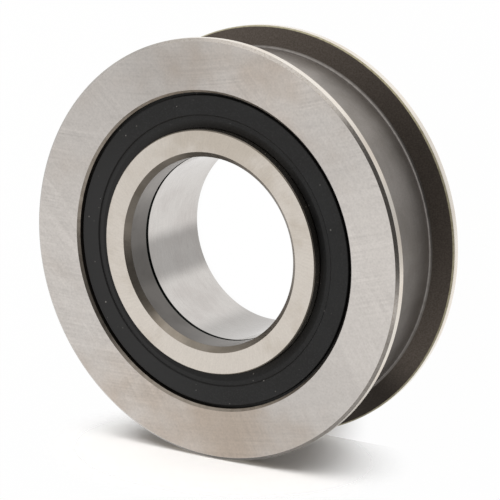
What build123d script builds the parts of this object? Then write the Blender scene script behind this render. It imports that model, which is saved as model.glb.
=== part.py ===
import os
from math import asin, pi, radians, tan

from build123d import *

# Chain idler roller: a hardened outer ring with a chain groove, turning on a sealed cylindrical
# roller bearing. Millimetres, Z along the bore. The roller stands on the rear face of its inner
# ring at Z = 0, and its front face looks up.

# Inner ring and loose rib ring
bore_diameter = 45.0
inner_wall = 3.5            # from the bore out to the raceway
inner_rib_height = 3.0      # the ribs stand this far above the raceway
rear_rib_width = 8.0
rib_ring_width = 8.0
bore_chamfer = 1.3
split_chamfer = 0.3         # at the bore, where the two rings meet
ring_edge_break = 0.25

# Rollers
roller_diameter = 9.0       # the space between the two raceways
roller_length = 14.9
race_play = 0.07            # radial play at each raceway
roller_end_play = 0.05      # play at each end of a roller
roller_end_radius = 0.5

# Cage
pocket_play = 0.2
pocket_end_play = 0.1
least_bar = 2.4             # narrowest bar that may stand between two rollers
cage_side = 1.9             # width of the closed ring at each end
cage_gap = 0.4              # to the ribs inside and outside
cage_edge_break = 0.3

# Outer ring
side_step = 0.75            # the inner ring stands this far proud of the outer ring at each side
outer_rib_height = 2.0
tread_wall = 10.0           # from the raceway out to the groove's floor
groove_depth = 5.0
flank_angle = 27.0          # the groove's flanks lean outwards by this much
groove_fillet = 0.8
flange_tip_width = 2.65
flange_chamfer = 0.7
flange_break = 0.3
relief_width = 0.9          # grinding reliefs in the corners of the raceways
relief_depth = 0.25

# Seal seats and seals
seat_step = 2.5             # the seat is this much larger in radius than the raceway
seat_depth = 3.4
seat_chamfer = 0.6
snap_depth = 0.6            # groove that holds the seal's bead
snap_width = 1.1
snap_lift = 0.5             # height of that groove above the seat's shoulder
seal_recess = 0.85          # the seal's face lies this far below the outer ring's face
seal_gap = 0.65             # open ring between the seal's face and the seat
seal_play = 0.1
seal_foot = 0.6             # the outer part of the seal is this much thicker than its web
foot_inset = 0.4
lip_width = 3.3
lip_drop = 0.3
lip_slope = 0.5
lip_clearance = 0.08

# Radii, from the shaft outwards
bore_radius = bore_diameter / 2
inner_race_radius = bore_radius + inner_wall
inner_rib_radius = inner_race_radius + inner_rib_height
pitch_radius = inner_race_radius + roller_diameter / 2
outer_race_radius = inner_race_radius + roller_diameter
outer_rib_radius = outer_race_radius - outer_rib_height
seat_radius = outer_race_radius + seat_step
groove_radius = outer_race_radius + tread_wall
flange_radius = groove_radius + groove_depth

# Heights, from the rear face of the inner ring upwards
race_bottom = rear_rib_width
race_top = race_bottom + roller_length + 2 * roller_end_play
inner_width = race_top + rib_ring_width
outer_bottom = side_step
outer_top = inner_width - side_step
flank_run = groove_depth * tan(radians(flank_angle))

roller_radius = roller_diameter / 2 - race_play
pocket_radius = roller_radius + pocket_play
roller_count = int(pi / asin((pocket_radius + least_bar / 2) / pitch_radius))

os.makedirs("parts", exist_ok=True)


# Inner ring: bore, raceway and the rear rib, all one turned and ground piece
with BuildPart() as inner_ring:
    with BuildSketch(Plane.XZ):
        with BuildLine():
            Polyline(
                (bore_radius + bore_chamfer, 0),
                (inner_rib_radius - ring_edge_break, 0),
                (inner_rib_radius, ring_edge_break),
                (inner_rib_radius, race_bottom - ring_edge_break),
                (inner_rib_radius - ring_edge_break, race_bottom),
                (inner_race_radius - relief_depth, race_bottom),
                (inner_race_radius - relief_depth, race_bottom + relief_width - relief_depth),
                (inner_race_radius, race_bottom + relief_width),
                (inner_race_radius, race_top - split_chamfer),
                (inner_race_radius - split_chamfer, race_top),
                (bore_radius + split_chamfer, race_top),
                (bore_radius, race_top - split_chamfer),
                (bore_radius, bore_chamfer),
                close=True,
            )
        make_face()
    revolve(axis=Axis.Z)
inner_ring.part.label = "inner_ring"


# Loose rib ring: seats on the end of the inner ring and closes the raceway at the front
with BuildPart() as rib_ring:
    with BuildSketch(Plane.XZ):
        with BuildLine():
            Polyline(
                (bore_radius + split_chamfer, race_top),
                (inner_rib_radius - ring_edge_break, race_top),
                (inner_rib_radius, race_top + ring_edge_break),
                (inner_rib_radius, inner_width - ring_edge_break),
                (inner_rib_radius - ring_edge_break, inner_width),
                (bore_radius + bore_chamfer, inner_width),
                (bore_radius, inner_width - bore_chamfer),
                (bore_radius, race_top + split_chamfer),
                close=True,
            )
        make_face()
    revolve(axis=Axis.Z)
rib_ring.part.label = "rib_ring"


# Outer ring: the chain groove outside, and inside it the raceway between two ribs, then at each
# side a stepped seat with a small groove that the seal's bead snaps into
with BuildPart() as outer_ring:
    with BuildSketch(Plane.XZ) as outer_section:
        with BuildLine():
            Polyline(
                (seat_radius, outer_bottom),
                (flange_radius, outer_bottom),
                (flange_radius, outer_bottom + flange_tip_width),
                (groove_radius, outer_bottom + flange_tip_width + flank_run),
                (groove_radius, outer_top - flange_tip_width - flank_run),
                (flange_radius, outer_top - flange_tip_width),
                (flange_radius, outer_top),
                (seat_radius, outer_top),
                (seat_radius, outer_top - seat_depth),
                (outer_rib_radius, outer_top - seat_depth),
                (outer_rib_radius, race_top),
                (outer_race_radius, race_top),
                (outer_race_radius, race_bottom),
                (outer_rib_radius, race_bottom),
                (outer_rib_radius, outer_bottom + seat_depth),
                (seat_radius, outer_bottom + seat_depth),
                close=True,
            )
        make_face()

        # In this section X is the radius and Y the height
        fillet(outer_section.vertices().group_by(Axis.X)[-2], radius=groove_fillet)
        tips = outer_section.vertices().group_by(Axis.X)[-1].sort_by(Axis.Y)
        chamfer(tips[1:3], length=flange_break)
        tips = outer_section.vertices().group_by(Axis.X)[-1].sort_by(Axis.Y)
        chamfer([tips[0], tips[-1]], length=flange_chamfer)
        levels = outer_section.vertices().group_by(Axis.Y)
        seat_mouths = [level.sort_by(Axis.X)[0] for level in (levels[0], levels[-1])]
        chamfer(seat_mouths, length=seat_chamfer)
    revolve(axis=Axis.Z)

    # Snap grooves in the seats and grinding reliefs in the raceway's corners
    with BuildSketch(Plane.XZ):
        for shoulder, away in ((outer_bottom + seat_depth, -1), (outer_top - seat_depth, 1)):
            with BuildLine():
                Polyline(
                    (seat_radius - snap_depth, shoulder + away * snap_lift),
                    (seat_radius + snap_depth, shoulder + away * snap_lift),
                    (seat_radius + snap_depth, shoulder + away * (snap_lift + snap_width)),
                    (seat_radius - snap_depth, shoulder + away * (snap_lift + snap_width)),
                    close=True,
                )
            make_face()
        for corner, inwards in ((race_bottom, 1), (race_top, -1)):
            with BuildLine():
                Polyline(
                    (outer_race_radius - relief_depth, corner),
                    (outer_race_radius + relief_depth, corner),
                    (outer_race_radius + relief_depth, corner + inwards * (relief_width - relief_depth)),
                    (outer_race_radius - relief_depth, corner + inwards * (relief_width + relief_depth)),
                    close=True,
                )
            make_face()
    revolve(axis=Axis.Z, mode=Mode.SUBTRACT)
outer_ring.part.label = "outer_ring"


# Cage: one moulded ring whose windows hold the rollers apart. Each window is a cylinder a little
# larger than its roller, so the bars reach round the rollers and keep them in.
with BuildPart() as cage:
    cage_bottom = race_bottom - pocket_end_play - cage_side
    cage_top = race_top + pocket_end_play + cage_side
    with BuildSketch(Plane.XY.offset(cage_bottom)):
        Circle(outer_rib_radius - cage_gap)
        Circle(inner_rib_radius + cage_gap, mode=Mode.SUBTRACT)
    extrude(amount=cage_top - cage_bottom)
    chamfer(cage.edges().filter_by(GeomType.CIRCLE), length=cage_edge_break)
    with BuildSketch(Plane.XY.offset(race_bottom - pocket_end_play)):
        with PolarLocations(pitch_radius, roller_count):
            Circle(pocket_radius)
    extrude(amount=race_top - race_bottom + 2 * pocket_end_play, mode=Mode.SUBTRACT)
cage.part.label = "cage"


# Seals: moulded rubber discs. The bead sits in the seat's snap groove, the foot rests on the
# seat's shoulder, and the lip runs on the rib of the inner ring.
bead_depth = seat_depth - snap_lift - snap_width + seal_play


def seal_outline(face, inwards):
    """Outline of a seal whose outer ring face is at height face; inwards is the way into the bearing."""
    depths = [
        (inner_rib_radius + lip_clearance, seal_recess + lip_drop + lip_slope),
        (inner_rib_radius + lip_clearance + lip_slope, seal_recess + lip_drop),
        (inner_rib_radius + lip_width - lip_drop, seal_recess + lip_drop),
        (inner_rib_radius + lip_width, seal_recess),
        (seat_radius - seal_gap, seal_recess),
        (seat_radius - seal_gap, bead_depth),
        (seat_radius + snap_depth - seal_play, bead_depth),
        (seat_radius + snap_depth - seal_play, bead_depth + snap_width - 2 * seal_play),
        (seat_radius - seal_play, bead_depth + snap_width - 2 * seal_play),
        (seat_radius - seal_play, seat_depth),
        (outer_rib_radius + foot_inset, seat_depth),
        (outer_rib_radius + foot_inset, seat_depth - seal_foot),
        (inner_rib_radius + lip_clearance, seat_depth - seal_foot),
    ]
    return [(radius, face + inwards * depth) for radius, depth in depths]


with BuildPart() as front_seal:
    with BuildSketch(Plane.XZ):
        with BuildLine():
            Polyline(*seal_outline(outer_top, -1), close=True)
        make_face()
    revolve(axis=Axis.Z)
front_seal.part.label = "front_seal"

with BuildPart() as rear_seal:
    with BuildSketch(Plane.XZ):
        with BuildLine():
            Polyline(*seal_outline(outer_bottom, 1), close=True)
        make_face()
    revolve(axis=Axis.Z)
rear_seal.part.label = "rear_seal"


for piece in (inner_ring, rib_ring, outer_ring, cage, front_seal, rear_seal):
    export_step(piece.part, f"parts/{piece.part.label}.step")


# Rollers: one solid each, standing in the cage's windows
for number, place in enumerate(PolarLocations(pitch_radius, roller_count), start=1):
    centre = place.position + Vector(0, 0, race_bottom + roller_end_play)
    with BuildPart() as roller:
        with BuildSketch(Plane(origin=centre, z_dir=(0, 0, 1))):
            Circle(roller_radius)
        extrude(amount=roller_length)
        fillet(roller.edges().filter_by(GeomType.CIRCLE), radius=roller_end_radius)
    roller.part.label = f"roller_{number:02d}"
    export_step(roller.part, f"parts/{roller.part.label}.step")
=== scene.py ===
import math

import bpy
import numpy as np
from mathutils import Matrix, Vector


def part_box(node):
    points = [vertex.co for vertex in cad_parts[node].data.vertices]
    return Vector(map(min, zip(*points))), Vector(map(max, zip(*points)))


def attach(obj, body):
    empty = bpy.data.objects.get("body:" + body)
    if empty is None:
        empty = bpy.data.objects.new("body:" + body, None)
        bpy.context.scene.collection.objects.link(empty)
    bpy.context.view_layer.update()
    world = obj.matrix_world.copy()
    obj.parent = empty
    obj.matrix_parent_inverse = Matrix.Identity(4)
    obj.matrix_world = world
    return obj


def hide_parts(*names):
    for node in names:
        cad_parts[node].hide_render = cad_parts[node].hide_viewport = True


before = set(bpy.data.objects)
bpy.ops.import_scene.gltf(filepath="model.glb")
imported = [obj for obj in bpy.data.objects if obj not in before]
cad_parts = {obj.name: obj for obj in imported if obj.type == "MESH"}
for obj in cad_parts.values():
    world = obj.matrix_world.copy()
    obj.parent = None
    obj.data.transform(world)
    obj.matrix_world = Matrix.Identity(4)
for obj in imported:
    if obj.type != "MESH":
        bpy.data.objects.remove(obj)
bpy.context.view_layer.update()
mm = 0.001
print("frame loaded: chain idler roller,", len(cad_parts), "nodes")

scene = bpy.context.scene
scene.view_settings.view_transform = "Standard"

# Heights and radii taken from the frame, in millimetres
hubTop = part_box("rib_ring")[1].z / mm
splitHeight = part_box("rib_ring")[0].z / mm
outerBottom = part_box("outer_ring")[0].z / mm
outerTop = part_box("outer_ring")[1].z / mm
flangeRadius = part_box("outer_ring")[1].y / mm
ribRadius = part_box("rib_ring")[1].y / mm
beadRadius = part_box("front_seal")[1].y / mm


# Camera: fitted to the ring edges. It looks down on the standing roller, and it is rolled so that
# the bore's axis comes out at the left and slightly below, as it does in the picture.
camera = {
    "axisRight": -0.5331,       # the part's +Z in the view: share to the right, and share upwards
    "axisUp": -0.1916,
    "faceRight": -9.52,         # middle of the outer ring's front face in the view, mm
    "faceUp": -0.63,
    "distance": 534.56,         # from the camera to that point along the line of sight, mm
    "focalLength": 165.6,       # mm, on a sensor this wide
    "sensor": 36.0,
    "nearest": 0.01,            # it sees from here to there, in metres
    "farthest": 20,
}


def viewBasis():
    # Rows: the view's right, up and backwards directions, written in the part's own axes
    axis = np.array([camera["axisRight"], camera["axisUp"], 0.0])
    axis[2] = math.sqrt(1 - axis @ axis)
    sideways = np.array([1.0, 0.0, 0.0])
    sideways = sideways - axis * (sideways @ axis)
    sideways = sideways / np.linalg.norm(sideways)
    return np.stack([sideways, np.cross(axis, sideways), axis], axis=1)


view = viewBasis()


def inPart(right, up, back):
    # A direction or distance of the view, in the part's axes
    return tuple(float(v) for v in np.array([right, up, back]) @ view)


def addCamera():
    data = bpy.data.cameras.new("camera")
    data.sensor_width = camera["sensor"]
    data.lens = camera["focalLength"]
    data.clip_start = camera["nearest"]
    data.clip_end = camera["farthest"]
    cam = bpy.data.objects.new("camera", data)
    offset = np.array(inPart(camera["faceRight"], camera["faceUp"], -camera["distance"]))
    matrix = np.eye(4)
    matrix[:3, :3] = view.T
    matrix[:3, 3] = (np.array([0, 0, outerTop]) - offset) * mm
    scene.collection.objects.link(cam)
    cam.matrix_world = Matrix(matrix.tolist())
    scene.camera = cam


addCamera()
print("camera placed")


# Shading helpers

def linear(hexColour):
    # sRGB hex to linear RGBA
    values = [int(hexColour[i:i + 2], 16) / 255 for i in (1, 3, 5)]
    return tuple(v / 12.92 if v <= 0.04045 else ((v + 0.055) / 1.055) ** 2.4 for v in values) + (1.0,)


def addNode(tree, kind, settings=None, links=None):
    # One node: settings name a property or an input, links name an input and what feeds it
    node = tree.nodes.new(kind)
    for key, value in (settings or {}).items():
        if isinstance(key, str) and hasattr(node, key):
            setattr(node, key, value)
    for key, value in (settings or {}).items():
        if not (isinstance(key, str) and hasattr(node, key)):
            node.inputs[key].default_value = value
    for key, source in (links or {}).items():
        tree.links.new(source, node.inputs[key])
    return node


def newMaterial(name):
    # An empty material, its node tree and output, and the piece's own coordinates in millimetres
    material = bpy.data.materials.new(name)
    material.use_nodes = True
    tree = material.node_tree
    tree.nodes.clear()
    out = addNode(tree, "ShaderNodeOutputMaterial")
    place = addNode(tree, "ShaderNodeTexCoord")
    millimetres = addNode(tree, "ShaderNodeVectorMath", {"operation": "SCALE", "Scale": 1 / mm},
                          {0: place.outputs["Object"]})
    return material, tree, out, millimetres.outputs[0]


def roundAxis(tree, millimetres):
    # Distance from the bore's axis, and the unit direction outwards from it
    flat = addNode(tree, "ShaderNodeVectorMath", {"operation": "MULTIPLY", 1: (1, 1, 0)}, {0: millimetres})
    radius = addNode(tree, "ShaderNodeVectorMath", {"operation": "LENGTH"}, {0: flat.outputs[0]})
    outwards = addNode(tree, "ShaderNodeVectorMath", {"operation": "NORMALIZE"}, {0: flat.outputs[0]})
    return radius.outputs["Value"], outwards.outputs[0]


def softStep(tree, value, start, end, first=0.0, last=1.0):
    # first up to start, last from end on, and smooth between
    return addNode(tree, "ShaderNodeMapRange",
                   {"interpolation_type": "SMOOTHSTEP", "From Min": start, "From Max": end,
                    "To Min": first, "To Max": last}, {"Value": value}).outputs["Result"]


def sumOf(tree, values):
    total = values[0]
    for value in values[1:]:
        total = addNode(tree, "ShaderNodeMath", {"operation": "ADD"}, {0: total, 1: value}).outputs[0]
    return total


bandCore = 0.45         # this share of a band's width has its full strength


def axialBand(tree, millimetres, angle, width, share):
    # A soft band along the axis at that angle round it, width degrees to each side: a factor of
    # 1 - share in its middle and 1 outside it. A negative share brightens.
    outwards = roundAxis(tree, millimetres)[1]
    turn = math.radians(angle)
    facing = addNode(tree, "ShaderNodeVectorMath",
                     {"operation": "DOT_PRODUCT", 1: (math.cos(turn), math.sin(turn), 0)}, {0: outwards})
    # The cosine falls with the square of the angle, so the root of what it lacks runs with the angle
    lack = addNode(tree, "ShaderNodeMath", {"operation": "SUBTRACT", 0: 1.0, "use_clamp": True},
                   {1: facing.outputs["Value"]})
    off = addNode(tree, "ShaderNodeMath", {"operation": "SQRT"}, {0: lack.outputs[0]})
    edge = math.sqrt(1 - math.cos(math.radians(width)))
    return softStep(tree, off.outputs[0], bandCore * edge, edge, 1 - share, 1.0)


# Marks left on the metal, in layers of noise; a layer's weight says how much it counts. "turned"
# follows the turning: cells in each radian round the axis, mm for each cell outwards or upwards, and
# slant in degrees per mm of radius. "wheel" is a cup wheel's centre in mm, with its arcs' spacing and
# length and the size of the patches they show in. "squeezed" has its cells per mm along x, y and z.
# A layer with none of them has the same grain every way, "scale" cells per mm.

# Two sets of long crossing arcs, as a cup wheel leaves them, broad ones under fine ones, and grain
groundMarks = [
    {"wheel": (-30, 260, 0), "spacing": 0.8, "length": 40, "patch": 14, "weight": 0.95},
    {"wheel": (-30, 260, 0), "spacing": 3.0, "length": 30, "patch": 25, "weight": 0.5},
    {"wheel": (-190, -150, 0), "spacing": 1.2, "length": 30, "patch": 11, "weight": 0.7},
    {"scale": 2.0, "detail": 3.0, "weight": 0.8},
]
# Fine rings round the axis, as a turning tool or a round grinding wheel leaves them
turnedMarks = [
    {"turned": (6, 0.35, 0.0), "detail": 2.0, "weight": 1.0},
    {"scale": 1.5, "detail": 2.0, "weight": 0.5},
]
# Faint turning rings under a fine even speckle, as furnace skin and blasting leave it
speckledMarks = [
    {"turned": (9, 0.5, 0.0), "detail": 1.0, "weight": 0.3},
    {"scale": 3.0, "detail": 3.0, "rough": 0.7, "weight": 1.2},
]
# A short slanted grain
grainMarks = [
    {"turned": (70, 2.5, 0.6), "detail": 2.0, "weight": 0.9},
    {"scale": 2.2, "detail": 3.0, "rough": 0.7, "weight": 1.2},
]
# Superfinished: hair-fine lines round the roller, so close together along it, and a faint haze
rollerMarks = [
    {"squeezed": (0.4, 0.4, 9), "detail": 2.0, "weight": 1.0},
    {"scale": 0.6, "detail": 2.0, "weight": 0.6},
]
# How the cup wheel's arcs come and go: their noise, where a patch starts and is full, and how
# strongly they show outside it and in it
arcs = {"detail": 4.0, "rough": 0.7, "patchFrom": 0.38, "patchTo": 0.65, "faintest": 0.15, "strongest": 1.4}


def turnedPlace(tree, millimetres, across, along, twist):
    # Coordinates that follow the turning: one unit round the ring is radius / across mm, one unit
    # outwards or upwards is along mm; twist, in degrees per mm of radius, slants the marks
    radius, outwards = roundAxis(tree, millimetres)
    angle = addNode(tree, "ShaderNodeMath", {"operation": "MULTIPLY", 1: math.radians(twist)}, {0: radius})
    slanted = addNode(tree, "ShaderNodeVectorRotate", {"rotation_type": "Z_AXIS"},
                      {"Vector": outwards, "Angle": angle.outputs[0]})
    wide = addNode(tree, "ShaderNodeVectorMath", {"operation": "SCALE", "Scale": across},
                   {0: slanted.outputs[0]})
    height = addNode(tree, "ShaderNodeSeparateXYZ", {}, {0: millimetres})
    reach = addNode(tree, "ShaderNodeMath", {"operation": "ADD"}, {0: height.outputs["Z"], 1: radius})
    tall = addNode(tree, "ShaderNodeMath", {"operation": "DIVIDE", 1: along}, {0: reach.outputs[0]})
    lift = addNode(tree, "ShaderNodeCombineXYZ", {}, {"Z": tall.outputs[0]})
    return addNode(tree, "ShaderNodeVectorMath", {"operation": "ADD"},
                   {0: wide.outputs[0], 1: lift.outputs[0]}).outputs[0]


def swingOf(tree, noise, weight):
    # A noise as a swing about zero, half its weight each way
    return addNode(tree, "ShaderNodeMath", {"operation": "MULTIPLY_ADD", 1: weight, 2: -weight / 2},
                   {0: noise.outputs["Fac"]}).outputs[0]


def wheelArcs(tree, millimetres, layer):
    # Marks of a cup wheel: circles round the wheel's centre, spacing mm apart, that fade in and out
    # over length mm, and show only in soft patches patch mm across
    distance = addNode(tree, "ShaderNodeVectorMath", {"operation": "DISTANCE", 1: layer["wheel"]},
                       {0: millimetres})
    rings = addNode(tree, "ShaderNodeMath", {"operation": "DIVIDE", 1: layer["spacing"]},
                    {0: distance.outputs["Value"]})
    slow = addNode(tree, "ShaderNodeVectorMath", {"operation": "SCALE", "Scale": 1 / layer["length"]},
                   {0: millimetres})
    lift = addNode(tree, "ShaderNodeCombineXYZ", {}, {"Z": rings.outputs[0]})
    place = addNode(tree, "ShaderNodeVectorMath", {"operation": "MULTIPLY_ADD", 1: (1, 1, 0)},
                    {0: slow.outputs[0], 2: lift.outputs[0]})
    noise = addNode(tree, "ShaderNodeTexNoise",
                    {"Scale": 1.0, "Detail": arcs["detail"], "Roughness": arcs["rough"]},
                    {"Vector": place.outputs[0]})
    shifted = addNode(tree, "ShaderNodeVectorMath", {"operation": "ADD", 1: layer["wheel"]},
                      {0: millimetres})
    cover = addNode(tree, "ShaderNodeTexNoise", {"Scale": 1 / layer["patch"], "Detail": 1.0},
                    {"Vector": shifted.outputs[0]})
    shown = addNode(tree, "ShaderNodeMapRange",
                    {"From Min": arcs["patchFrom"], "From Max": arcs["patchTo"],
                     "To Min": arcs["faintest"], "To Max": arcs["strongest"]},
                    {"Value": cover.outputs["Fac"]})
    return addNode(tree, "ShaderNodeMath", {"operation": "MULTIPLY"},
                   {0: swingOf(tree, noise, layer["weight"]), 1: shown.outputs["Result"]}).outputs[0]


def markLayer(tree, millimetres, layer):
    place = millimetres
    if "wheel" in layer:
        return wheelArcs(tree, millimetres, layer)
    if "turned" in layer:
        place = turnedPlace(tree, millimetres, *layer["turned"])
    if "squeezed" in layer:
        place = addNode(tree, "ShaderNodeVectorMath", {"operation": "MULTIPLY", 1: layer["squeezed"]},
                        {0: millimetres}).outputs[0]
    noise = addNode(tree, "ShaderNodeTexNoise",
                    {"Scale": layer.get("scale", 1.0), "Detail": layer["detail"],
                     "Roughness": layer.get("rough", 0.5)}, {"Vector": place})
    return swingOf(tree, noise, layer["weight"])


# What every steel finish has unless it says otherwise. Clouds of cloudSize mm blend from colour to
# cloudColour between the noise values cloudFrom and cloudTo. A spot is soft: its middle, its reach in
# mm and how far it pushes towards cloudColour; some spots are a real film, others painted shade and
# painted light. A band is an angle, a width and a share: painted reflection and shade round the axis.
# The marks change the tone by markTone, the roughness by markRoughness, and are markDepth mm deep.
plainSteel = {
    "cloudFrom": 0.4, "cloudTo": 0.7, "cloudDetail": 3.0, "cloudRough": 0.55, "filmsAndPaintedShade": [], "paintedBands": [],
    "markRoughness": 0.1, "bump": 0.2, "markDepth": 0.01, "anisotropic": 0.0,
}


def steel(name, own):
    # Bearing steel, hardened and machined
    look = {**plainSteel, **own}
    material, tree, out, millimetres = newMaterial(name)
    cloud = addNode(tree, "ShaderNodeTexNoise",
                    {"Scale": 1 / look["cloudSize"], "Detail": look["cloudDetail"],
                     "Roughness": look["cloudRough"]}, {"Vector": millimetres}).outputs["Fac"]
    # Soft spots: a real film in places, painted shade and painted light in others
    for middle, reach, amount in look["filmsAndPaintedShade"]:
        away = addNode(tree, "ShaderNodeVectorMath", {"operation": "DISTANCE", 1: middle}, {0: millimetres})
        cloud = sumOf(tree, [cloud, softStep(tree, away.outputs["Value"], 0.0, reach, amount, 0.0)])
    tone = addNode(tree, "ShaderNodeMix",
                   {"data_type": "RGBA", 6: linear(look["colour"]), 7: linear(look["cloudColour"])},
                   {"Factor": softStep(tree, cloud, look["cloudFrom"], look["cloudTo"])}).outputs[2]
    # Bands round the axis: painted reflection and painted shade
    for angle, width, share in look["paintedBands"]:
        band = axialBand(tree, millimetres, angle, width, share)
        tone = addNode(tree, "ShaderNodeVectorMath", {"operation": "SCALE"},
                       {0: tone, "Scale": band}).outputs[0]
    marks = sumOf(tree, [markLayer(tree, millimetres, layer) for layer in look["marks"]])
    bright = addNode(tree, "ShaderNodeMath", {"operation": "MULTIPLY_ADD", 1: look["markTone"], 2: 1.0},
                     {0: marks})
    shaded = addNode(tree, "ShaderNodeVectorMath", {"operation": "SCALE"},
                     {0: tone, "Scale": bright.outputs[0]})
    rough = addNode(tree, "ShaderNodeMath",
                    {"operation": "MULTIPLY_ADD", 1: look["markRoughness"], 2: look["roughness"]},
                    {0: marks})
    bump = addNode(tree, "ShaderNodeBump", {"Strength": look["bump"], "Distance": look["markDepth"] * mm},
                   {"Height": marks})
    shader = addNode(tree, "ShaderNodeBsdfPrincipled",
                     {"Metallic": 1.0, "Anisotropic": look["anisotropic"]},
                     {"Base Color": shaded.outputs[0], "Roughness": rough.outputs[0],
                      "Normal": bump.outputs[0]})
    if look["anisotropic"]:
        tangent = addNode(tree, "ShaderNodeTangent", {"direction_type": "RADIAL", "axis": "Z"})
        tree.links.new(tangent.outputs[0], shader.inputs["Tangent"])
    tree.links.new(shader.outputs[0], out.inputs["Surface"])
    return material


# Outer ring faces, ground flat: pale warm grey, soft gloss, crossing arcs, faint tan film at the
# bottom; the spots at the top are painted shade, the pale spot at the lower right painted light, and
# the bands round the axis painted reflection
groundFace = steel("bearing_steel_face_ground", {
    "colour": "#CDC9C6", "cloudColour": "#BAAEA3", "cloudSize": 20, "cloudFrom": 0.46, "cloudTo": 1.0,
    "filmsAndPaintedShade": [((-9, -44, outerTop), 30, 0.34), ((19, -40, outerTop), 28, 0.32),
              ((23, 38, outerTop), 30, 0.28), ((38, -26, outerTop), 30, -0.3),
              ((-14, 41, outerTop), 20, 0.16)],
    "paintedBands": [(352, 30, -0.04), (105, 20, 0.06), (290, 18, 0.02), (42, 20, 0.07), (208, 24, 0.05)],
    "marks": groundMarks, "markTone": 0.55, "roughness": 0.36, "markRoughness": 0.14, "bump": 0.3,
    "markDepth": 0.012, "anisotropic": 0.82,
})
# Inner ring faces: the same steel with a warmer, finer ground face, with painted shade towards the
# top and painted light towards the bottom
innerFace = steel("bearing_steel_fine_ground", {
    "colour": "#D2CCC5", "cloudColour": "#C3BBB1", "cloudSize": 7, "cloudTo": 0.8,
    "filmsAndPaintedShade": [((5, 28, hubTop), 26, 0.26), ((2, -28, hubTop), 26, -0.25)],
    "marks": grainMarks, "markTone": 0.24, "roughness": 0.36, "anisotropic": 0.3,
})
# Rims, round ground: the palest and glossiest steel outside, with painted shade in a soft sector at
# the right and, on the front rim, a painted highlight at the lower right
rimLook = {
    "colour": "#F2EBE1", "cloudColour": "#EADFD2", "cloudSize": 12,
    "marks": turnedMarks, "markTone": 0.08, "roughness": 0.26, "markRoughness": 0.08, "bump": 0.15,
}
groundRim = steel("bearing_steel_rim_ground",
                  {**rimLook, "paintedBands": [(25, 25, 0.2), (13, 15, 0.25), (328, 17, -0.14)]})
rearRim = steel("bearing_steel_rear_rim_ground", {**rimLook, "paintedBands": [(22, 22, 0.16)]})
# Chamfers of the flange tips: fine turned, greyer than the rim, with a fine sparkle
turnedEdge = steel("bearing_steel_turned", {
    "colour": "#E0DAD4", "cloudColour": "#CFC7BE", "cloudSize": 0.5, "cloudFrom": 0.45,
    "marks": turnedMarks, "markTone": 0.35, "roughness": 0.2, "markRoughness": 0.15, "bump": 0.4,
})
# Chamfer at the mouth of each seal seat: turned, straw tan, with painted shade at the right and
# painted light at the left and at the top
seatMouth = steel("bearing_steel_seat_mouth", {
    "colour": "#B4ABA0", "cloudColour": "#A0968B", "cloudSize": 2.5,
    "paintedBands": [(2, 66, 0.85), (168, 50, -0.6), (80, 24, -0.35)],
    "marks": turnedMarks, "markTone": 0.25, "roughness": 0.32,
})
# Joint of the two inner rings, at the bore: black along the joint
blackJoint = steel("bearing_steel_black_joint", {
    "colour": "#262B29", "cloudColour": "#1C201E", "cloudSize": 3,
    "marks": turnedMarks, "markTone": 0.1, "roughness": 0.4, "bump": 0.1,
})
# Broken edge between rim and flank: oil-stained olive tan
brokenEdge = steel("bearing_steel_broken_edge", {
    "colour": "#BDB69B", "cloudColour": "#A59D82", "cloudSize": 0.8,
    "marks": turnedMarks, "markTone": 0.2, "roughness": 0.4,
})
# Seats: turned and hardened, not ground, so darker and browner than the faces
skinLook = {
    "colour": "#A9A197", "cloudColour": "#9C9387", "cloudSize": 6,
    "marks": grainMarks, "markTone": 0.2, "roughness": 0.34, "markRoughness": 0.15, "bump": 0.3,
}
hardenedTurned = steel("bearing_steel_hardened_turned", skinLook)
# Chamfers of the inner rings: the same turned skin, paler and darker by turns round the bore:
# painted reflection and painted shade
boreEdge = steel("bearing_steel_bore_chamfer", {
    **skinLook,
    "paintedBands": [(240, 17, -0.45), (90, 26, 0.36), (325, 26, 0.26), (180, 14, -0.3), (349, 14, 0.2)],
})
# Groove floor: satin mid grey under a fine speckle, with a painted highlight at the top and painted
# shade at the right
grooveFloor = steel("bearing_steel_satin_hardened", {
    "colour": "#A7A19C", "cloudColour": "#9A948E", "cloudSize": 10, "cloudFrom": 0.35,
    "paintedBands": [(78, 18, -0.25), (22, 22, 0.17)],
    "marks": speckledMarks, "markTone": 0.45, "roughness": 0.42,
})
# Fillet at the foot of each flank: rubbed smooth by the turning tool's nose, greyer than the floor
filletSteel = steel("bearing_steel_fillet", {
    "colour": "#98938F", "cloudColour": "#8A8581", "cloudSize": 1.5,
    "marks": turnedMarks, "markTone": 0.2, "roughness": 0.36,
})
# Flanks: left as hardened, with the dark brown skin of the furnace, and painted shade in a band at the
# lower right
hardenedSkin = steel("bearing_steel_heat_scale", {
    "colour": "#7C736C", "cloudColour": "#6C645D", "cloudSize": 0.35, "cloudFrom": 0.35, "cloudTo": 0.65,
    "paintedBands": [(296, 34, 0.68)],
    "marks": speckledMarks, "markTone": 0.3, "roughness": 0.55, "bump": 0.4, "markDepth": 0.02,
})
# Bore: round ground, the brightest surface inside, with soft darker bands along it that are painted
# reflections
groundBore = steel("bearing_steel_bore_ground", {
    "colour": "#CECAC6", "cloudColour": "#C6C1BD", "cloudSize": 9,
    "paintedBands": [(196, 19, 0.41), (266, 24, 0.28), (38, 16, 0.2), (95, 25, 0.12), (305, 16, 0.12)],
    "marks": turnedMarks, "markTone": 0.2, "roughness": 0.13, "markRoughness": 0.06, "bump": 0.1,
    "markDepth": 0.005,
})
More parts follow.
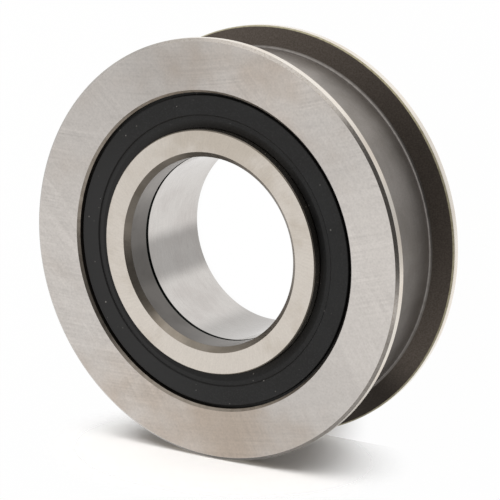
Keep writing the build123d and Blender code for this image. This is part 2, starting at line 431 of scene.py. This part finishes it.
# Bore of the loose rib ring: turned, mid grey and matter than the inner ring's, darker and paler by
# turns along it: painted reflection and painted shade
ribBore = steel("bearing_steel_rib_bore", {
    "colour": "#87837F", "cloudColour": "#7E7A76", "cloudSize": 6,
    "paintedBands": [(207, 62, 0.36), (197, 16, 0.25), (268, 25, 0.15), (135, 24, -0.3), (50, 40, 0.2)],
    "marks": turnedMarks, "markTone": 0.12, "roughness": 0.34, "markRoughness": 0.08, "bump": 0.15,
})
# Rollers: superfinished, nearly a mirror, cooler than the rings
rollerSteel = steel("bearing_steel_superfinished", {
    "colour": "#D5D4D2", "cloudColour": "#CBC9C6", "cloudSize": 5,
    "marks": rollerMarks, "markTone": 0.08, "roughness": 0.14, "markRoughness": 0.08, "bump": 0.1,
    "markDepth": 0.004,
})
print("steel finishes made")


# Nitrile rubber, moulded against a fine-blasted die: satin black with a fine grey grain, evenly
# greyer at the left as painted light, and a few specks of dust. Sizes in mm, angles in degrees.
rubberLook = {
    "colour": "#0E0E0F", "worn": "#151617", "cloudScale": 0.12, "wornFrom": 0.4, "wornTo": 0.7,
    "grey": "#242425", "grain": 0.38, "greyFrom": 0.46, "greyTo": 0.72,
    # The grey of the painted light at the left, its angle round the axis and its width
    "paintedLightGrey": "#212122", "paintedLightAngle": 200, "paintedLightWidth": 85,
    "dust": "#807D79", "speckSpacing": 1.6, "speckSize": 0.13, "speckShare": 0.6,
    "roughness": 0.5, "ior": 1.52, "specular": 0.33, "bump": 0.5, "grainDepth": 0.03,
}


def rubber(look):
    material, tree, out, millimetres = newMaterial("nitrile_rubber_moulded")
    cloud = addNode(tree, "ShaderNodeTexNoise", {"Scale": look["cloudScale"], "Detail": 3.0},
                    {"Vector": millimetres})
    tone = addNode(tree, "ShaderNodeMix",
                   {"data_type": "RGBA", 6: linear(look["colour"]), 7: linear(look["worn"])},
                   {"Factor": softStep(tree, cloud.outputs["Fac"], look["wornFrom"], look["wornTo"])})
    grain = addNode(tree, "ShaderNodeTexNoise",
                    {"Scale": 1 / look["grain"], "Detail": 3.0, "Roughness": 0.7}, {"Vector": millimetres})
    tone = addNode(tree, "ShaderNodeMix", {"data_type": "RGBA", 7: linear(look["grey"])},
                   {"Factor": softStep(tree, grain.outputs["Fac"], look["greyFrom"], look["greyTo"]),
                    6: tone.outputs[2]})
    # Painted light: the seal is greyer in a broad sector at the left
    awayFromPaintedLight = axialBand(tree, millimetres, look["paintedLightAngle"], look["paintedLightWidth"], 1.0)
    tone = addNode(tree, "ShaderNodeMix", {"data_type": "RGBA", 6: linear(look["paintedLightGrey"])},
                   {"Factor": awayFromPaintedLight, 7: tone.outputs[2]})
    # Each cell draws a number; only cells below speckShare hold a speck, larger for a lower number
    specks = addNode(tree, "ShaderNodeTexVoronoi", {"Scale": 1 / look["speckSpacing"]},
                     {"Vector": millimetres})
    draw = addNode(tree, "ShaderNodeSeparateColor", {}, {0: specks.outputs["Color"]})
    size = addNode(tree, "ShaderNodeMapRange",
                   {"From Max": look["speckShare"], "To Min": look["speckSize"], "To Max": 0.0},
                   {"Value": draw.outputs[0]})
    near = addNode(tree, "ShaderNodeMath", {"operation": "LESS_THAN"},
                   {0: specks.outputs["Distance"], 1: size.outputs["Result"]})
    strength = addNode(tree, "ShaderNodeMath", {"operation": "MULTIPLY"},
                       {0: near.outputs[0], 1: draw.outputs[1]})
    tone = addNode(tree, "ShaderNodeMix", {"data_type": "RGBA", 7: linear(look["dust"])},
                   {"Factor": strength.outputs[0], 6: tone.outputs[2]})
    bump = addNode(tree, "ShaderNodeBump", {"Strength": look["bump"], "Distance": look["grainDepth"] * mm},
                   {"Height": grain.outputs["Fac"]})
    shader = addNode(tree, "ShaderNodeBsdfPrincipled",
                     {"Roughness": look["roughness"], "IOR": look["ior"],
                      "Specular IOR Level": look["specular"]},
                     {"Base Color": tone.outputs[2], "Normal": bump.outputs[0]})
    tree.links.new(shader.outputs[0], out.inputs["Surface"])
    return material


sealRubber = rubber(rubberLook)


# Glass-filled polyamide, moulded: warm ivory, faintly translucent, soft flow streaks and fibre ends
polyamideLook = {
    "colour": "#B9AF97", "streak": "#A99E84", "flow": (5, 6, 0.0), "bend": 0.6,
    "streakFrom": 0.35, "streakTo": 0.7,
    "fibre": "#D3CBB8", "fibreSize": 0.35, "fibreFrom": 0.58, "fibreTo": 0.75,
    "roughness": 0.4, "fibreRoughness": 0.2, "bump": 0.3, "fibreDepth": 0.02,
    "ior": 1.53, "scatter": 0.15, "scatterDepth": 0.8,
}


def polyamide(look):
    material, tree, out, millimetres = newMaterial("polyamide_glass_filled_moulded")
    streaks = addNode(tree, "ShaderNodeTexNoise", {"Scale": 1.0, "Detail": 3.0, "Distortion": look["bend"]},
                      {"Vector": turnedPlace(tree, millimetres, *look["flow"])})
    tone = addNode(tree, "ShaderNodeMix",
                   {"data_type": "RGBA", 6: linear(look["colour"]), 7: linear(look["streak"])},
                   {"Factor": softStep(tree, streaks.outputs["Fac"], look["streakFrom"], look["streakTo"])})
    fibres = addNode(tree, "ShaderNodeTexNoise", {"Scale": 1 / look["fibreSize"], "Detail": 3.0},
                     {"Vector": millimetres})
    tone = addNode(tree, "ShaderNodeMix", {"data_type": "RGBA", 7: linear(look["fibre"])},
                   {"Factor": softStep(tree, fibres.outputs["Fac"], look["fibreFrom"], look["fibreTo"]),
                    6: tone.outputs[2]})
    rough = addNode(tree, "ShaderNodeMath",
                    {"operation": "MULTIPLY_ADD", 1: look["fibreRoughness"], 2: look["roughness"]},
                    {0: fibres.outputs["Fac"]})
    bump = addNode(tree, "ShaderNodeBump", {"Strength": look["bump"], "Distance": look["fibreDepth"] * mm},
                   {"Height": fibres.outputs["Fac"]})
    shader = addNode(tree, "ShaderNodeBsdfPrincipled",
                     {"IOR": look["ior"], "Subsurface Weight": look["scatter"],
                      "Subsurface Scale": look["scatterDepth"] * mm},
                     {"Base Color": tone.outputs[2], "Roughness": rough.outputs[0],
                      "Normal": bump.outputs[0]})
    tree.links.new(shader.outputs[0], out.inputs["Surface"])
    return material


def dress(node, material):
    # A CAD node that is shown as it stands, in this material
    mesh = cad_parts[node].data
    mesh.materials.clear()
    mesh.materials.append(material)


dress("cage", polyamide(polyamideLook))
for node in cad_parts:
    if node.startswith("roller_"):
        dress(node, rollerSteel)
print("rubber and polyamide made, cage and rollers dressed")


# Turned pieces

turning = {
    "steps": 360,           # round the axis
    "arcSteps": 5,          # along each rounded edge
    "support": 0.02,        # mm from an arc's end to the point that keeps the side next to it flat
    "filletFrom": 0.5,      # mm; a rounding above this is a fillet and has that finish
}


def roundedOutline(corners):
    # corners: radius, height, edge rounding, finish of the side that follows, all going once round.
    # A rounding of radius q at a corner of half angle h starts q / tan(h) before the corner, its
    # centre is q / sin(h) from it on the bisector. A support point follows just outside each arc.
    points, finishes = [], []
    count, arcSteps = len(corners), turning["arcSteps"]
    for i, (radius, height, rounding, finish) in enumerate(corners):
        here = np.array([radius, height])
        before = np.array(corners[i - 1][:2]) - here
        after = np.array(corners[(i + 1) % count][:2]) - here
        before = before / np.linalg.norm(before)
        after = after / np.linalg.norm(after)
        half = math.acos(np.clip(before @ after, -1, 1)) / 2
        reach = rounding / math.tan(half)
        bisector = (before + after) / np.linalg.norm(before + after)
        centre = here + bisector * rounding / math.sin(half)
        start, end = here + before * reach - centre, here + after * reach - centre
        sweep = math.atan2(start[0] * end[1] - start[1] * end[0], start @ end)
        turn = np.linspace(0, sweep, arcSteps + 1)
        arc = centre + np.stack([start[0] * np.cos(turn) - start[1] * np.sin(turn),
                                 start[0] * np.sin(turn) + start[1] * np.cos(turn)], axis=1)
        flat = reach + turning["support"]
        points += [here + before * flat, *arc, here + after * flat]
        bend = "fillet" if rounding > turning["filletFrom"] else finish
        finishes += [corners[i - 1][3]] + [bend] * arcSteps + [finish] * 2
    return np.array(points), np.array(finishes)


def turnedRing(name, corners, finishes):
    # A closed outline turned round the axis: a point of the outline at radius r and height z goes
    # to (r cos t, r sin t, z), with t in equal steps; both ways round the grid close on themselves
    outline, sideFinish = roundedOutline(corners)
    steps = turning["steps"]
    turn = np.linspace(0, 2 * np.pi, steps, endpoint=False)
    radius, height = outline[:, 0] * mm, outline[:, 1] * mm
    grid = np.stack([np.outer(np.cos(turn), radius), np.outer(np.sin(turn), radius),
                     np.broadcast_to(height, (steps, len(height)))], axis=2)
    column = np.arange(steps)[:, None] * len(outline)
    nextColumn = np.roll(column, -1, axis=0)
    row = np.arange(len(outline))[None, :]
    nextRow = np.roll(row, -1, axis=1)
    faces = np.stack([column + row, nextColumn + row, nextColumn + nextRow, column + nextRow], axis=2)
    mesh = bpy.data.meshes.new(name)
    mesh.from_pydata(grid.reshape(-1, 3).tolist(), [], faces.reshape(-1, 4).tolist())
    for material in finishes.values():
        mesh.materials.append(material)
    order = {key: index for index, key in enumerate(finishes)}
    slots = np.array([order[key] for key in sideFinish])
    mesh.polygons.foreach_set("material_index", np.tile(slots, steps))
    mesh.polygons.foreach_set("use_smooth", np.ones(len(mesh.polygons), bool))
    mesh.update()
    piece = bpy.data.objects.new(name, mesh)
    scene.collection.objects.link(piece)
    return piece


def fit(piece, body, node):
    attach(piece, body)
    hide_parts(node)


# Outer ring: chain groove outside, raceway between two ribs inside, a seal seat at each side
outerRing = {
    "grooveDepth": 5.0, "grooveFillet": 1.0, "flankAngle": 27.0,
    "tipWidth": 2.65, "tipChamfer": 0.7, "tipBreak": 0.3,
    "wall": 10.0, "ribHeight": 2.0,                     # from the raceway to the floor and the ribs
    "seatStep": 2.5, "seatDepth": 3.4, "seatChamfer": 0.6,
    "snapDepth": 0.6, "snapWidth": 1.1, "snapLift": 0.5,
    "sharpEdge": 0.06,                                  # rounding of every edge
}


def outerRingCorners(sizes):
    floor = flangeRadius - sizes["grooveDepth"]
    race = floor - sizes["wall"]
    rib = race - sizes["ribHeight"]
    seat = race + sizes["seatStep"]
    snap = seat + sizes["snapDepth"]
    edge = sizes["sharpEdge"]
    run = sizes["grooveDepth"] * math.tan(math.radians(sizes["flankAngle"]))
    breakRun = run * sizes["tipBreak"] / sizes["grooveDepth"]
    tipEnd = outerTop - sizes["tipWidth"]
    shoulder = outerTop - sizes["seatDepth"]
    snapLow = shoulder + sizes["snapLift"]
    snapTop = snapLow + sizes["snapWidth"]
    # Front half, from the raceway's middle round the outside to the groove's middle
    upper = [
        (race, splitHeight, edge, "face"),
        (rib, splitHeight, edge, "face"),
        (rib, shoulder, edge, "seat"),
        (seat, shoulder, edge, "seat"),
        (seat, snapLow, edge, "seat"),
        (snap, snapLow, edge, "seat"),
        (snap, snapTop, edge, "seat"),
        (seat, snapTop, edge, "seat"),
        (seat, outerTop - sizes["seatChamfer"], edge, "mouth"),
        (seat + sizes["seatChamfer"], outerTop, edge, "face"),
        (flangeRadius - sizes["tipChamfer"], outerTop, edge, "edge"),
        (flangeRadius, outerTop - sizes["tipChamfer"], edge, "rim"),
        (flangeRadius, tipEnd + sizes["tipBreak"], edge, "break"),
        (flangeRadius - sizes["tipBreak"], tipEnd - breakRun, edge, "flank"),
        (floor, tipEnd - run, sizes["grooveFillet"], "floor"),
    ]
    # Rear half: the same points mirrored, in the other order; a side's finish belongs to its start
    lower = [(r, outerTop + outerBottom - z, q) for r, z, q, side in reversed(upper)]
    sides = [side for r, z, q, side in reversed(upper[:-1])] + ["race"]
    sides = ["rearRim" if side == "rim" else side for side in sides]
    return upper + [(r, z, q, side) for (r, z, q), side in zip(lower, sides)]


fit(turnedRing("outer_ring_turned", outerRingCorners(outerRing), {
    "face": groundFace, "rim": groundRim, "rearRim": rearRim, "edge": turnedEdge, "break": brokenEdge,
    "mouth": seatMouth, "seat": hardenedTurned, "floor": grooveFloor, "flank": hardenedSkin,
    "fillet": filletSteel, "race": groundBore,
}), "outer", "outer_ring")
print("outer ring turned")


# Inner ring and loose rib ring
innerRing = {
    "wall": 3.5, "ribHeight": 3.0, "ribWidth": 8.0,     # from the bore out to the raceway, and the ribs
    "boreChamfer": 1.3, "splitChamfer": 0.5, "ringBreak": 0.25,
    "reliefWidth": 0.9, "reliefDepth": 0.25,            # grinding relief in the raceway's corner
    "sharpEdge": 0.05,
}
raceRadius = ribRadius - innerRing["ribHeight"]
boreRadius = raceRadius - innerRing["wall"]


def innerRingCorners(sizes):
    edge, split, cut = sizes["sharpEdge"], sizes["splitChamfer"], sizes["ringBreak"]
    relief, low = sizes["reliefDepth"], sizes["ribWidth"]
    return [
        (boreRadius + sizes["boreChamfer"], 0, edge, "face"),
        (ribRadius - cut, 0, edge, "edge"),
        (ribRadius, cut, edge, "rib"),
        (ribRadius, low - cut, edge, "edge"),
        (ribRadius - cut, low, edge, "face"),
        (raceRadius - relief, low, edge, "edge"),
        (raceRadius - relief, low + sizes["reliefWidth"] - relief, edge, "edge"),
        (raceRadius, low + sizes["reliefWidth"], edge, "rib"),
        (raceRadius, splitHeight - split, edge, "edge"),
        (raceRadius - split, splitHeight, edge, "face"),
        (boreRadius + split, splitHeight, edge, "joint"),
        (boreRadius, splitHeight - split, edge, "bore"),
        (boreRadius, sizes["boreChamfer"], edge, "edge"),
    ]


def ribRingCorners(sizes):
    edge, split, cut = sizes["sharpEdge"], sizes["splitChamfer"], sizes["ringBreak"]
    return [
        (boreRadius + split, splitHeight, edge, "face"),
        (ribRadius - cut, splitHeight, edge, "edge"),
        (ribRadius, splitHeight + cut, edge, "rib"),
        (ribRadius, hubTop - cut, edge, "edge"),
        (ribRadius - cut, hubTop, edge, "face"),
        (boreRadius + sizes["boreChamfer"], hubTop, edge, "edge"),
        (boreRadius, hubTop - sizes["boreChamfer"], edge, "bore"),
        (boreRadius, splitHeight + split, edge, "joint"),
    ]


innerFinishes = {"face": innerFace, "edge": boreEdge, "rib": groundRim, "bore": groundBore, "joint": blackJoint}
fit(turnedRing("inner_ring_turned", innerRingCorners(innerRing), innerFinishes),
    "hub", "inner_ring")
fit(turnedRing("rib_ring_turned", ribRingCorners(innerRing), {**innerFinishes, "bore": ribBore}),
    "hub", "rib_ring")
print("inner rings turned")


# Seals: bead, foot, step and lip, moulded in one
seal = {
    "recess": 0.85, "gap": 0.65, "play": 0.1,           # below the ring's face, and from the seat
    "snapDepth": 0.6, "beadTop": 1.9, "beadBottom": 2.8,
    "foot": 3.4, "footInset": 0.4, "web": 2.8,          # depths below the ring's face
    "lipWidth": 3.3, "lipDrop": 0.3, "lipSlope": 1.9, "lipDip": 0.55, "lipClearance": 0.08,
    "edge": 0.12,                                       # rounding; twice that at the outer edge
}


def sealCorners(sizes, face, inwards):
    seat = beadRadius + sizes["play"] - sizes["snapDepth"]
    foot = seat - outerRing["seatStep"] - outerRing["ribHeight"] + sizes["footInset"]
    lip, edge = ribRadius + sizes["lipClearance"], sizes["edge"]
    step, low = ribRadius + sizes["lipWidth"], sizes["recess"] + sizes["lipDrop"]
    steps = [
        (lip, low + sizes["lipDip"], edge),
        (lip + sizes["lipSlope"], low, edge),
        (step - sizes["lipDrop"], low, edge),
        (step, sizes["recess"], edge),
        (seat - sizes["gap"], sizes["recess"], 2 * edge),
        (seat - sizes["gap"], sizes["beadTop"], edge),
        (beadRadius, sizes["beadTop"], edge),
        (beadRadius, sizes["beadBottom"], edge),
        (seat - sizes["play"], sizes["beadBottom"], edge),
        (seat - sizes["play"], sizes["foot"], edge),
        (foot, sizes["foot"], edge),
        (foot, sizes["web"], edge),
        (lip, sizes["web"], edge),
    ]
    corners = [(r, face + inwards * depth, q, "rubber") for r, depth, q in steps]
    return corners if inwards > 0 else corners[::-1]


fit(turnedRing("front_seal_moulded", sealCorners(seal, outerTop, -1), {"rubber": sealRubber}),
    "outer", "front_seal")
fit(turnedRing("rear_seal_moulded", sealCorners(seal, outerBottom, 1), {"rubber": sealRubber}),
    "outer", "rear_seal")
print("seals moulded")


# Floor, table sheet, world and lamps. Shades and lamps are placed in the view: right, up and back.
studio = {
    "floorSize": 4.0, "floorColour": "#F4F3F1",         # size in metres; all below it in mm
    "floorGlow": 0.985, "shadowPlace": (9, -46, 0), "shadowReach": 18,
    # How bright the floor's glow is for gloss, painted darker as shade: close to the roller and beyond
    # glossOut, between these distances along glossTowards and these radii, and in the dark parts further out
    "glossClose": 0.27, "glossFar": 0.95, "glossOut": (59, 62.5),
    "glossTowards": (0.7071, -0.7071, 0), "glossReach": (-20, 60), "glossNear": (51.3, 52.6),
    "glossDark": [((0, -1, 0), 60, 120, 0.2), ((-1, 0, 0), 60, 95, 0.6)],
    "tableColour": "#E8E6E4", "tableReach": (48, 38), "tableMiddle": (0, 25), "tableFade": (0.4, 1.0),
    "tableGap": 0.05,
    # Each shade: direction, the cosines between which it comes in, and the share of light it takes
    "sideLight": 0.92, "lightTint": "#FFFDFA",
    "shades": [((0.12, -0.02, 0.99), 0.68, 0.88, 0.91), ((-0.52, 0.43, 0.74), 0.76, 1.0, 0.57),
               ((0.95, 0, 0.3), 0.5, 0.95, 0.5), ((-0.7, -0.65, 0.3), 0.85, 1.0, -0.3),
               ((0.11, -0.96, 0.26), 0.79, 0.87, 0.64), ((-0.81, 0.59, 0.04), 0.86, 1.0, 0.43)],
    # Each lamp: power in watts, size in metres, place in mm
    "lamps": [("key_lamp", 7.9, 0.8, (-320, 780, 300)), ("fill_lamp", 2.0, 0.5, (400, 480, 480))],
}


def addSheet(name, corners):
    mesh = bpy.data.meshes.new(name)
    mesh.from_pydata([tuple(v * mm for v in corner) for corner in corners], [], [(0, 1, 2, 3)])
    sheet = bpy.data.objects.new(name, mesh)
    scene.collection.objects.link(sheet)
    material, tree, out, millimetres = newMaterial("white_paper_" + name)
    mesh.materials.append(material)
    return sheet, tree, out, millimetres


def addFloor():
    # White sheet that the roller lies on. Camera and gloss see it glow, so it stays white, but by
    # the rim it is plain paper, so the object's shadow stays too. The glow that gloss sees carries painted
    # shade.
    half = studio["floorSize"] / 2 / mm
    corners = [(-half, -half, 0), (half, -half, 0), (half, half, 0), (-half, half, 0)]
    tree, out, millimetres = addSheet("floor", corners)[1:]
    paper = addNode(tree, "ShaderNodeBsdfDiffuse", {"Color": linear(studio["floorColour"])})
    rays = addNode(tree, "ShaderNodeLightPath")
    radius = roundAxis(tree, millimetres)[0]
    inside = addNode(tree, "ShaderNodeMath", {"operation": "LESS_THAN", 1: boreRadius}, {0: radius})
    outside = addNode(tree, "ShaderNodeMath", {"operation": "SUBTRACT", 0: 1.0}, {1: inside.outputs[0]})
    # Towards the lower right the glow that gloss sees is painted darker, as the roller's own shade
    far = addNode(tree, "ShaderNodeVectorMath", {"operation": "DOT_PRODUCT", 1: studio["glossTowards"]},
                  {0: millimetres})
    fall = addNode(tree, "ShaderNodeMath", {"operation": "MULTIPLY"},
                   {0: softStep(tree, far.outputs["Value"], *studio["glossReach"]),
                    1: softStep(tree, radius, *studio["glossNear"])})
    fall = addNode(tree, "ShaderNodeMath", {"operation": "MULTIPLY"},
                   {0: fall.outputs[0], 1: outside.outputs[0]})
    lost = softStep(tree, radius, *studio["glossOut"], studio["glossClose"] - 1, studio["glossFar"] - 1)
    gloss = addNode(tree, "ShaderNodeMath", {"operation": "MULTIPLY_ADD", 2: 1.0},
                    {0: fall.outputs[0], 1: lost})
    # Further out it is painted darker below and at the left, as darker parts of the room
    for towards, start, end, darkest in studio["glossDark"]:
        reach = addNode(tree, "ShaderNodeVectorMath", {"operation": "DOT_PRODUCT", 1: towards},
                        {0: millimetres})
        gloss = addNode(tree, "ShaderNodeMath", {"operation": "MULTIPLY"},
                        {0: gloss.outputs[0],
                         1: softStep(tree, reach.outputs["Value"], start, end, 1.0, darkest)})
    # The camera sees the glow at full strength, the gloss at the strength worked out above
    change = addNode(tree, "ShaderNodeMath", {"operation": "SUBTRACT", 1: 1.0}, {0: gloss.outputs[0]})
    strength = addNode(tree, "ShaderNodeMath", {"operation": "MULTIPLY_ADD", 2: 1.0},
                       {0: change.outputs[0], 1: rays.outputs["Is Glossy Ray"]})
    glow = addNode(tree, "ShaderNodeEmission", {}, {"Strength": strength.outputs[0]})
    contact = addNode(tree, "ShaderNodeVectorMath", {"operation": "DISTANCE", 1: studio["shadowPlace"]},
                      {0: millimetres})
    bare = softStep(tree, contact.outputs["Value"], 0.0, studio["shadowReach"], 0.0, studio["floorGlow"])
    seen = addNode(tree, "ShaderNodeMath", {"operation": "MULTIPLY"},
                   {0: bare, 1: rays.outputs["Is Camera Ray"]})
    throughBore = addNode(tree, "ShaderNodeMath", {"operation": "MULTIPLY"},
                          {0: inside.outputs[0], 1: rays.outputs["Is Camera Ray"]})
    share = addNode(tree, "ShaderNodeMath", {"operation": "MAXIMUM"},
                    {0: seen.outputs[0], 1: throughBore.outputs[0]})
    share = addNode(tree, "ShaderNodeMath", {"operation": "MAXIMUM"},
                    {0: share.outputs[0], 1: rays.outputs["Is Glossy Ray"]})
    mix = addNode(tree, "ShaderNodeMixShader", {},
                  {0: share.outputs[0], 1: paper.outputs[0], 2: glow.outputs[0]})
    tree.links.new(mix.outputs[0], out.inputs["Surface"])


def addTable():
    # In the picture the roller stands on its rim. This small sheet under the rim takes that contact
    # shadow, fades out all round and can't be seen from below.
    side, deep = studio["tableReach"]
    middle, near = studio["tableMiddle"]
    low = -flangeRadius - studio["tableGap"]
    corners = [(middle - side, low, 0), (middle - side, low, near + deep),
               (middle + side, low, near + deep), (middle + side, low, 0)]
    sheet, tree, out, millimetres = addSheet("table", corners)
    sheet.visible_glossy = False
    paper = addNode(tree, "ShaderNodeBsdfDiffuse", {"Color": linear(studio["tableColour"])})
    clear = addNode(tree, "ShaderNodeBsdfTransparent")
    reach = addNode(tree, "ShaderNodeVectorMath", {"operation": "SUBTRACT", 1: (middle, 0, near)},
                    {0: millimetres})
    scaled = addNode(tree, "ShaderNodeVectorMath", {"operation": "MULTIPLY", 1: (1 / side, 0, 1 / deep)},
                     {0: reach.outputs[0]})
    away = addNode(tree, "ShaderNodeVectorMath", {"operation": "LENGTH"}, {0: scaled.outputs[0]})
    facing = addNode(tree, "ShaderNodeNewGeometry")
    hidden = addNode(tree, "ShaderNodeMath", {"operation": "MAXIMUM"},
                     {0: softStep(tree, away.outputs["Value"], *studio["tableFade"]),
                      1: facing.outputs["Backfacing"]})
    mix = addNode(tree, "ShaderNodeMixShader", {},
                  {0: hidden.outputs[0], 1: paper.outputs[0], 2: clear.outputs[0]})
    tree.links.new(mix.outputs[0], out.inputs["Surface"])


def addWorld():
    # Bright all round, with soft darker parts where the camera and the open room would be; the
    # camera itself sees plain white
    world = bpy.data.worlds.new("studio")
    scene.world = world
    world.use_nodes = True
    tree = world.node_tree
    tree.nodes.clear()
    out = addNode(tree, "ShaderNodeOutputWorld")
    direction = addNode(tree, "ShaderNodeTexCoord")
    plain = addNode(tree, "ShaderNodeValue")
    plain.outputs[0].default_value = studio["sideLight"]
    level = plain.outputs[0]
    for towards, start, end, amount in studio["shades"]:
        unit = np.array(inPart(*towards))
        unit = tuple(unit / np.linalg.norm(unit))
        facing = addNode(tree, "ShaderNodeVectorMath", {"operation": "DOT_PRODUCT", 1: unit},
                         {0: direction.outputs["Generated"]})
        kept = softStep(tree, facing.outputs["Value"], start, end, 1.0, 1 - amount)
        level = addNode(tree, "ShaderNodeMath", {"operation": "MULTIPLY"}, {0: level, 1: kept}).outputs[0]
    glow = addNode(tree, "ShaderNodeBackground", {"Color": linear(studio["lightTint"])}, {"Strength": level})
    white = addNode(tree, "ShaderNodeBackground", {"Color": (1, 1, 1, 1), "Strength": 1.0})
    rays = addNode(tree, "ShaderNodeLightPath")
    seen = addNode(tree, "ShaderNodeMixShader", {},
                   {0: rays.outputs["Is Camera Ray"], 1: glow.outputs[0], 2: white.outputs[0]})
    tree.links.new(seen.outputs[0], out.inputs["Surface"])


def addLamps():
    # Two large soft lamps, above to the left and in front to the right; metal doesn't mirror them
    for name, power, size, towards in studio["lamps"]:
        data = bpy.data.lights.new(name, "AREA")
        data.shape = "DISK"
        data.size = size
        data.energy = power
        lamp = bpy.data.objects.new(name, data)
        lamp.visible_camera = False
        lamp.visible_glossy = False
        scene.collection.objects.link(lamp)
        where = np.array(inPart(*towards)) * mm
        back = where / np.linalg.norm(where)
        side = np.cross([0.0, 0.0, 1.0], back)
        side = side / np.linalg.norm(side)
        matrix = np.eye(4)
        matrix[:3, :] = np.stack([side, np.cross(back, side), back, where], axis=1)
        lamp.matrix_world = Matrix(matrix.tolist())


addFloor()
addTable()
addWorld()
addLamps()
print("studio set")
